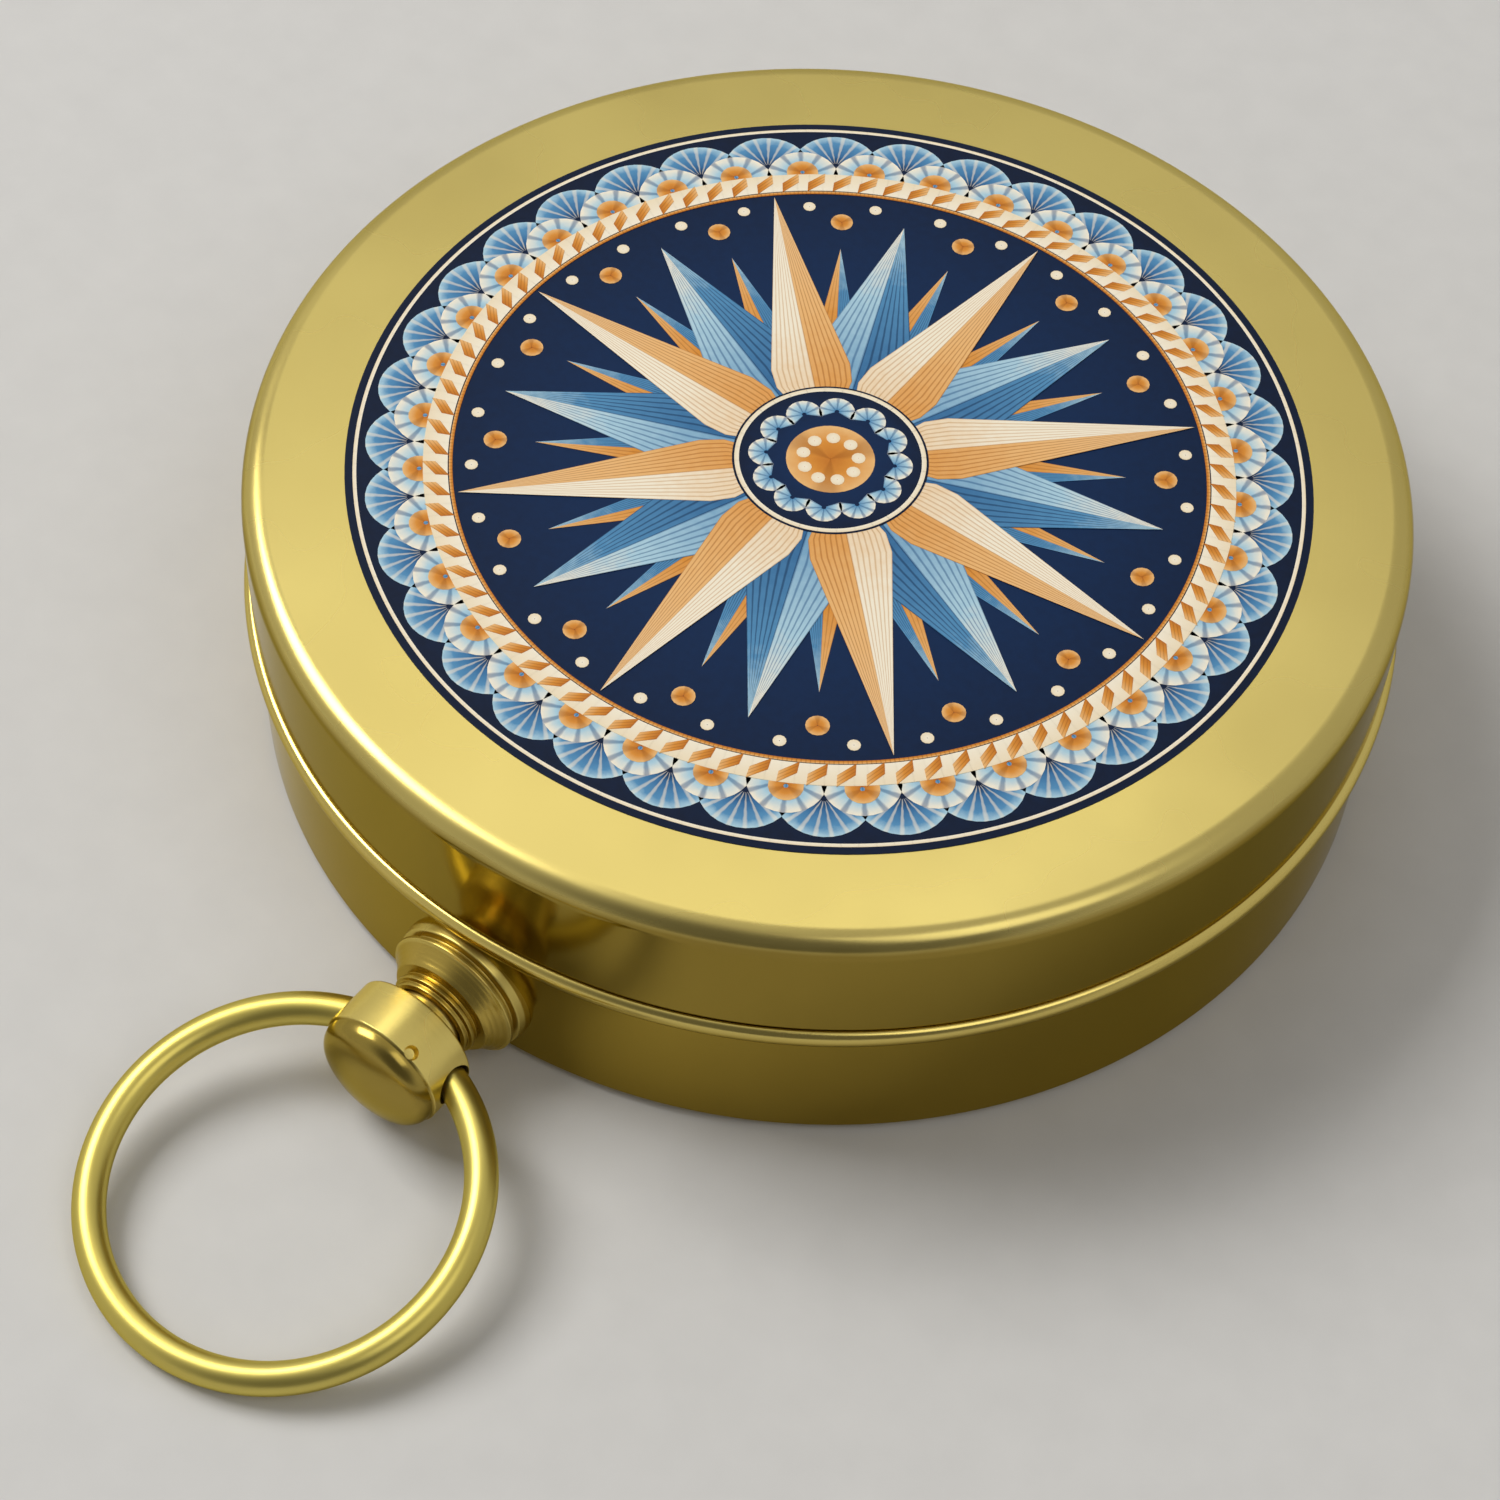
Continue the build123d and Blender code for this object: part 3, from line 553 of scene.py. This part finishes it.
navy, deep_navy, cream, tan = srgb(4, 36, 74), srgb(1, 18, 44), srgb(251, 240, 216), srgb(238, 196, 142)
orange, amber = srgb(222, 146, 58), srgb(240, 188, 122)
mid_blue, pale_blue = srgb(86, 144, 186), srgb(176, 210, 224)
cream_line, shade_line, orange_line = srgb(206, 160, 104), srgb(176, 104, 36), srgb(150, 84, 24)
ground_ink = ink("ground_ink", [(0.0, srgb(6, 44, 86)), (0.55, navy), (1.0, deep_navy)])
cream_ink = ink("cream_ink", [(0.0, tan), (0.45, cream), (1.0, cream)], 7, cream_line, 0.6)
shade_ink = ink("shade_ink", [(0.0, orange), (0.5, amber), (1.0, tan)], 7, shade_line, 0.6)
blue_ink = ink("blue_ink", [(0.0, mid_blue), (0.6, pale_blue), (1.0, cream)], 6, srgb(40, 92, 140), 0.6)
dusk_ink = ink("dusk_ink", [(0.0, srgb(40, 92, 142)), (0.7, mid_blue), (1.0, pale_blue)], 6, navy, 0.6)
orange_stops = [(0.0, srgb(196, 116, 38)), (0.5, orange), (1.0, amber)]
orange_ink = ink("orange_ink", orange_stops, 3, orange_line, 0.4)
scale_stops = [(0.0, navy), (0.3, srgb(54, 108, 156)), (0.75, mid_blue), (1.0, pale_blue)]
scale_ink = ink("scale_ink", scale_stops, 9, cream, 0.45)
plain_cream = ink("plain_cream", [(0.0, cream), (1.0, srgb(244, 226, 192))])

print_low, print_radius, print_face, print_layer, layer_root = 13.9, 20.6, 13.925, 0.009, 0.005
layer = [print_face + print_layer * (k + 1) for k in range(8)]
sink = print_face - layer_root
ground_rings, ground_sides = 8, 192
ground_rows = []
for i in range(ground_rings + 1):
    r = print_radius * i / ground_rings
    turns = [2 * math.pi * j / ground_sides for j in range(ground_sides + 1)]
    ground_rows.append([(r * math.cos(a), r * math.sin(a)) for a in turns])
ground = raised("print_ground", ground_rows, print_face, print_low)
fit(ground, ground_ink, "lid", "print", "lid_print")
# A fan's numbers are its inner and outer radius and half turn, a spear's are its length, foot, widest
# place, half width and side. After the shape come the count, the circle's radius, the start and the ink.
printed([
    (fan("print_edge_line", 20.1, 20.26, 1.01, layer[0], sink, 1, 4), 180, 0, 0, plain_cream),
    (fan("print_scallop_back", 0.2, 1.95, 90, layer[0], sink, 4, 16), 36, 17.85, 5, scale_ink),
    (fan("print_scallop", 0.15, 1.62, 96, layer[1], sink, 4, 16), 36, 17.15, 0, blue_ink),
    (fan("print_scallop_heart", 0.1, 0.72, 180, layer[2], sink, 2, 18), 36, 17.45, 0, orange_ink),
    (fan("print_rope_bed", 16.25, 17.3, 1.01, layer[3], sink, 1, 4), 180, 0, 0, plain_cream),
    (lozenge("print_rope", 1.15, 0.74, 0.42, layer[4], sink), 90, 16.77, 0, orange_ink),
    (fan("print_rope_edge", 16.05, 16.2, 1.01, layer[2], sink, 1, 4), 180, 0, 0, orange_ink),
    (spear("print_ray_small_a", 12.6, 3.4, 0.3, 1.05, 1, layer[1], sink), 16, 0, 11.25, orange_ink),
    (spear("print_ray_small_b", 12.6, 3.4, 0.3, 1.05, -1, layer[1], sink), 16, 0, 11.25, dusk_ink),
    (spear("print_ray_half_a", 14.4, 2.6, 0.26, 2.3, 1, layer[3], sink), 8, 0, 22.5, blue_ink),
    (spear("print_ray_half_b", 14.4, 2.6, 0.26, 2.3, -1, layer[3], sink), 8, 0, 22.5, dusk_ink),
    (spear("print_ray_main_a", 15.9, 1.2, 0.24, 1.85, 1, layer[4], sink), 8, 0, 0, cream_ink),
    (spear("print_ray_main_b", 15.9, 1.2, 0.24, 1.85, -1, layer[4], sink), 8, 0, 0, shade_ink),
    (fan("print_berry", 0.02, 0.5, 180, layer[1], sink, 2, 16), 16, 14.3, 11.25, orange_ink),
    (fan("print_dot", 0.02, 0.28, 180, layer[1], sink, 1, 12), 32, 15.25, 5.625, plain_cream),
    (fan("print_boss_bed", 0.02, 4.2, 180, layer[5], sink, 4, 64), 1, 0, 0, ground_ink),
    (fan("print_boss_line", 3.9, 4.1, 5.7, layer[6], sink, 1, 4), 32, 0, 0, plain_cream),
    (fan("print_boss_petal", 0.1, 0.78, 120, layer[6], sink, 3, 14), 12, 2.75, 0, blue_ink),
    (fan("print_boss_heart", 0.02, 1.9, 180, layer[6], sink, 3, 40), 1, 0, 0, orange_ink),
    (fan("print_boss_star", 0.02, 0.3, 180, layer[7], sink, 1, 12), 9, 1.2, 0, plain_cream),
], "lid", "print", "lid_print")


# The dial: a round card printed with degrees, points and a rose, held in a shallow cup round the
# pivot. Its figures are flat black ink, its north is red, and the rose is printed in two blues.
def enamel(name, light, deep, gloss):
    """Smooth paint or enamel with a faint mottle."""
    made, tree, shader, place = coat(name)
    mottle = clouds(tree, place, scale=420, detail=5)
    tree.links.new(ramp(tree, mottle, [(0.3, deep), (0.7, light)]), shader.inputs["Base Color"])
    tree.links.new(spread(tree, mottle, 0.3, 0.7, gloss, gloss + 0.1), shader.inputs["Roughness"])
    return made


def figures(name, words, material, depth=0.02, swell=0.018):
    """Flat lettering as one mesh: (text, size, distance from the middle, degrees from north) each."""
    bm = bmesh.new()
    for text, size, reach, bearing in words:
        curve = bpy.data.curves.new("figure", "FONT")
        curve.body = text
        curve.size = size * mm
        curve.align_x = "CENTER"
        curve.align_y = "CENTER"
        curve.extrude = depth * mm
        curve.offset = swell * size * mm
        letter = show("figure", curve)
        mesh = settled(letter)
        a = math.radians(bearing)
        spot = Vector((math.sin(a) * reach * mm, math.cos(a) * reach * mm, (card_ink - depth) * mm))
        mesh.transform(Matrix.Translation(spot) @ Matrix.Rotation(-a, 4, "Z"))
        bm.from_mesh(mesh)
        bpy.data.objects.remove(letter)
    bmesh.ops.remove_doubles(bm, verts=bm.verts, dist=1e-7)
    fit(formed(name, bm), material, "case", "dial_face", "dial_plate", corner=20)


card_paint = enamel("card_paint", srgb(244, 240, 228), srgb(232, 225, 206), gloss=0.45)
black_ink = enamel("black_ink", srgb(34, 32, 32), srgb(20, 19, 20), gloss=0.4)
red_ink = enamel("red_ink", srgb(186, 40, 32), srgb(160, 28, 24), gloss=0.35)
card_hole, card_radius, card_low, card_face, card_ink = 1.2, 19.3, 1.6, 1.885, 1.898
under_ink = card_ink - 0.004
card_outline = [(card_hole, card_low), (card_radius, card_low)]
card_outline += [(card_radius, card_face), (card_hole, card_face)]
card = turned("dial_card", card_outline)
fit(card, card_paint, "case", "dial_face", "dial_plate")
printed([
    (fan("dial_outer_line", 18.55, 18.68, 1.01, card_ink, card_low, 1, 4), 180, 0, 0, black_ink),
    (fan("dial_inner_line", 16.35, 16.45, 1.01, card_ink, card_low, 1, 4), 180, 0, 0, black_ink),
    (fan("dial_ticks_fine", 17.6, 18.55, 0.14, card_ink, card_low, 1, 1), 180, 0, 0, black_ink),
    (fan("dial_ticks_ten", 16.95, 18.55, 0.26, card_ink, card_low, 1, 1), 36, 0, 0, black_ink),
    (fan("dial_ticks_thirty", 16.4, 18.55, 0.46, card_ink, card_low, 1, 1), 12, 0, 0, black_ink),
    (fan("dial_rose_line", 7.9, 8.05, 2.85, card_ink, card_low, 1, 4), 64, 0, 0, black_ink),
    (spear("dial_ray_small_a", 7.6, 1.4, 0.2, 1.3, 1, under_ink, card_low), 4, 0, 45, blue_ink),
    (spear("dial_ray_small_b", 7.6, 1.4, 0.2, 1.3, -1, under_ink, card_low), 4, 0, 45, dusk_ink),
    (spear("dial_ray_main_a", 9.6, 1.4, 0.16, 1.5, 1, card_ink, card_low), 4, 0, 0, blue_ink),
    (spear("dial_ray_main_b", 9.6, 1.4, 0.16, 1.5, -1, card_ink, card_low), 4, 0, 0, dusk_ink),
], "case", "dial_face", "dial_plate")
degree_size, degree_reach, half_size, half_reach = 1.75, 15.2, 1.7, 10.6
point_size, north_size, point_reach = 3.1, 3.4, 11.9
points = [("E", 90), ("S", 180), ("W", 270)]
half_points = [("NE", 45), ("SE", 135), ("SW", 225), ("NW", 315)]
figures("dial_degrees", [(str(d), degree_size, degree_reach, d) for d in range(0, 360, 30)], black_ink)
figures("dial_points", [(text, point_size, point_reach, d) for text, d in points], black_ink)
figures("dial_north", [("N", north_size, point_reach, 0)], red_ink)
figures("dial_half_points", [(text, half_size, half_reach, d) for text, d in half_points], black_ink)


# The needle: a long steel lozenge with a ridge ground along it, its north arm painted red and its
# south arm left blued. It turns on the post by a jewel in a brass cap, balanced by a small weight.
needle_turn, needle_reach, needle_half, tip_slope = math.radians(18), 15.3, 1.28, 0.05
needle_low, needle_edge, needle_ridge = 4.24, 4.33, 4.475
blue_steel = brass("blue_steel", (0.10, 0.14, 0.24), (0.05, 0.08, 0.16), smooth=0.2, dull=0.32, lines=0)
needle_red = enamel("needle_red", srgb(196, 44, 34), srgb(172, 32, 26), gloss=0.28)
needle_bm = bmesh.new()
tips = {}
for side, sign in (("north", 1), ("south", -1)):
    tip_low = needle_bm.verts.new((0, sign * needle_reach * mm, needle_low * mm))
    tip_top = needle_bm.verts.new((0, sign * (needle_reach - tip_slope) * mm, needle_edge * mm))
    tips[side] = (tip_low, tip_top)
flank = {}
for x in (-1, 1):
    flank[x] = [needle_bm.verts.new((x * needle_half * mm, 0, h * mm)) for h in (needle_low, needle_edge)]
middle_top = needle_bm.verts.new((0, 0, needle_ridge * mm))
middle_low = needle_bm.verts.new((0, 0, needle_low * mm))
for side, (tip_low, tip_top) in tips.items():
    for x in (-1, 1):
        for loop in (
            (middle_top, flank[x][1], tip_top),
            (flank[x][1], flank[x][0], tip_low, tip_top),
            (middle_low, flank[x][0], tip_low),
        ):
            needle_bm.faces.new(loop).material_index = 0 if side == "north" else 1
bmesh.ops.recalc_face_normals(needle_bm, faces=needle_bm.faces)
needle = formed("needle_lozenge", needle_bm)
needle.data.transform(Matrix.Rotation(needle_turn, 4, "Z"))
needle_sides = [face.material_index for face in needle.data.polygons]
fit(needle, needle_red, "needle", "needle_paint", "needle_blade", corner=5)
needle.data.materials.append(blue_steel)
for face, index in zip(needle.data.polygons, needle_sides):
    face.material_index = index


# The small works: nut, stem, claw, springs, screws, hinge and the bearing. They are turned, bent and
# wound from brass and steel wire and sheet, so each keeps its CAD form, with its edges shaded soft.
def worked(node, material, body, slot, corner=32):
    """A copy of a CAD piece, merged to a closed mesh and shaded smooth."""
    bm = bmesh.new()
    bm.from_mesh(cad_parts[node].data)
    bm.transform(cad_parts[node].matrix_world)
    bmesh.ops.remove_doubles(bm, verts=bm.verts, dist=1e-7)
    made = formed(node + "_work", bm)
    fit(made, material, body, slot, node, corner=corner)
    return made


spring_steel = brass(
    "spring_steel", (0.62, 0.62, 0.62), (0.48, 0.48, 0.50), smooth=0.2, dull=0.34, lines=0,
)
screw_steel = brass(
    "screw_steel", (0.56, 0.56, 0.58), (0.42, 0.42, 0.45), smooth=0.18, dull=0.32, lines=0.1,
)
plated = brass("plated_cup", (0.74, 0.73, 0.70), (0.62, 0.61, 0.58), smooth=0.28, dull=0.42, lines=0.1)
ring_satin = brass(
    "bezel_brass", (0.84, 0.66, 0.22), (0.74, 0.56, 0.15), smooth=0.18, dull=0.3, lines=0.1,
)
bearing_red = enamel("bearing_red", srgb(150, 24, 40), srgb(118, 14, 30), gloss=0.12)
seal_rubber = enamel("seal_rubber", srgb(44, 44, 44), srgb(28, 28, 29), gloss=0.7)
works = [
    ("neck_nut", neck_brass, "case", "turned_brass"),
    ("push_stem", screw_steel, "knob", "steel"),
    ("catch_claw", spring_steel, "knob", "steel"),
    ("claw_screw", screw_steel, "knob", "steel"),
    ("dial_cup", plated, "case", "cup_metal"),
    ("pivot_post", screw_steel, "case", "steel"),
    ("crystal_gasket", seal_rubber, "case", "gasket_rubber"),
    ("bezel_ring", ring_satin, "case", "bezel_brass"),
    ("lift_spring", spring_steel, "case", "steel"),
    ("lift_screw", screw_steel, "case", "steel"),
    ("case_knuckles", case_brass, "case", "case_brass"),
    ("hinge_pin", screw_steel, "case", "steel"),
    ("lid_rim", ring_satin, "lid", "case_brass"),
    ("lid_knuckle", case_brass, "lid", "case_brass"),
    ("needle_hub", knob_brass, "needle", "turned_brass"),
    ("needle_jewel", bearing_red, "needle", "jewel"),
    ("needle_weight", knob_brass, "needle", "turned_brass"),
]
for node, material, body, slot in works:
    worked(node, material, body, slot)
coil = worked("return_spring", spring_steel, "case", "steel")
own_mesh(coil)


# The glass: a flat disc cut from clear sheet, sat on the gasket and held down by the bezel. Lamps
# shine through it on the dial, and wiping has left it with the faintest haze.
clear, clear_tree, glass, clear_place = coat("clear_glass")
glass.inputs["Transmission Weight"].default_value = 1
glass.inputs["IOR"].default_value = 1.45
haze = clouds(clear_tree, clear_place, scale=90, detail=4)
clear_tree.links.new(spread(clear_tree, haze, 0.4, 0.8, 0.0, 0.03), glass.inputs["Roughness"])
open_to_light = knot(clear_tree, "ShaderNodeBsdfTransparent", {"Color": (0.96, 0.98, 0.97, 1)})
ray_kind = knot(clear_tree, "ShaderNodeLightPath", {})
through = knot(clear_tree, "ShaderNodeMixShader", {
    0: ray_kind.outputs["Is Shadow Ray"], 1: glass.outputs["BSDF"], 2: open_to_light.outputs["BSDF"],
})
clear_tree.links.new(through.outputs["Shader"], clear_tree.nodes["Material Output"].inputs["Surface"])
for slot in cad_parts["crystal"].material_slots:
    slot.material = clear


# The stage: a plain pale floor that fades far out into an even pale backdrop, soft lamps to the
# left, behind and to the right, a front that mirrored rays find dim, as where a photographer stands,
# and the camera at the photograph's place.
def seen_by_eye(tree):
    """1 for rays that show the backdrop itself: straight, mirrored or through glass."""
    ray = knot(tree, "ShaderNodeLightPath", {}).outputs
    mirrored = sums(tree, "MAXIMUM", ray["Is Camera Ray"], ray["Is Glossy Ray"])
    return sums(tree, "MAXIMUM", mirrored, ray["Is Transmission Ray"])


ambient, backdrop, pale, fade_near, fade_far = 0.27, 0.6, (1, 0.99, 0.97, 1), 0.25, 0.8
floor_size, floor_drop = 3, 0.00002
floor_bm = bmesh.new()
bmesh.ops.create_grid(floor_bm, x_segments=1, y_segments=1, size=floor_size)
floor = formed("floor", floor_bm)
floor.data.transform(Matrix.Translation((0, 0, -floor_drop)))
floor_paint = enamel("floor_paint", srgb(214, 212, 208), srgb(210, 208, 204), gloss=0.75)
floor_tree = floor_paint.node_tree
floor_place = knot(floor_tree, "ShaderNodeTexCoord", {}).outputs["Object"]
floor_reach = knot(floor_tree, "ShaderNodeVectorMath", {0: floor_place}, operation="LENGTH")
far_out = spread(floor_tree, floor_reach.outputs["Value"], fade_near, fade_far, 0, 1, "SMOOTHSTEP")
even = knot(floor_tree, "ShaderNodeEmission", {"Color": pale, "Strength": backdrop})
sweep = knot(floor_tree, "ShaderNodeMixShader", {
    0: sums(floor_tree, "MULTIPLY", far_out, seen_by_eye(floor_tree)),
    1: floor_tree.nodes["Principled BSDF"].outputs["BSDF"],
    2: even.outputs["Emission"],
})
floor_tree.links.new(sweep.outputs["Shader"], floor_tree.nodes["Material Output"].inputs["Surface"])
floor.data.materials.append(floor_paint)

world = bpy.data.worlds.new("studio")
bpy.context.scene.world = world
world.use_nodes = True
sky = world.node_tree
glow = sky.nodes["Background"]
glow.inputs["Color"].default_value = pale
sky_level = spread(sky, seen_by_eye(sky), 0, 1, ambient, backdrop)
front, dim_from, dim_full, dim_share = Vector((0.45, -0.67, 0.5)).normalized(), 0.55, 0.95, 0.75
toward = knot(sky, "ShaderNodeTexCoord", {}).outputs["Generated"]
facing = knot(sky, "ShaderNodeVectorMath", {0: toward, 1: front}, operation="DOT_PRODUCT")
dim = spread(sky, facing.outputs["Value"], dim_from, dim_full, 0, dim_share, "SMOOTHSTEP")
mirror = knot(sky, "ShaderNodeLightPath", {}).outputs["Is Glossy Ray"]
kept = sums(sky, "SUBTRACT", 1, sums(sky, "MULTIPLY", dim, mirror))
sky.links.new(sums(sky, "MULTIPLY", sky_level, kept), glow.inputs["Strength"])


def lamp(name, place, size, power):
    """A soft square lamp that looks at the object."""
    light = bpy.data.lights.new(name, "AREA")
    light.shape = "SQUARE"
    light.size = size
    light.energy = power
    made = show(name, light)
    made.location = place
    aim = Vector((0, 0, 0.005)) - Vector(place)
    made.rotation_euler = aim.to_track_quat("-Z", "Y").to_euler()


lamp("key", (-0.50, -0.08, 0.62), size=0.42, power=4.3)
lamp("panel", (-0.33, 0.47, 0.93), size=0.4, power=0.55)
lamp("fill", (0.52, -0.14, 0.80), size=0.5, power=1.1)

azimuth, elevation, roll = math.radians(33.96), math.radians(52.86), math.radians(3.30)
distance, slide_x, slide_y = 164.41 * mm, 2.94 * mm, 3.96 * mm
back = Vector((
    math.sin(azimuth) * math.cos(elevation),
    -math.cos(azimuth) * math.cos(elevation),
    math.sin(elevation),
))
level = Vector((math.cos(azimuth), math.sin(azimuth), 0))
upright = back.cross(level)
right = level * math.cos(roll) + upright * math.sin(roll)
up = upright * math.cos(roll) - level * math.sin(roll)
lens = bpy.data.cameras.new("photo_camera")
lens.sensor_width = 36
lens.lens = 86.4
lens.clip_start = 0.01
camera = show("photo_camera", lens)
axes = Matrix((right, up, back)).transposed().to_4x4()
camera.matrix_world = Matrix.Translation(back * distance - right * slide_x - up * slide_y) @ axes
bpy.context.scene.camera = camera
bpy.context.scene.view_settings.view_transform = "Standard"
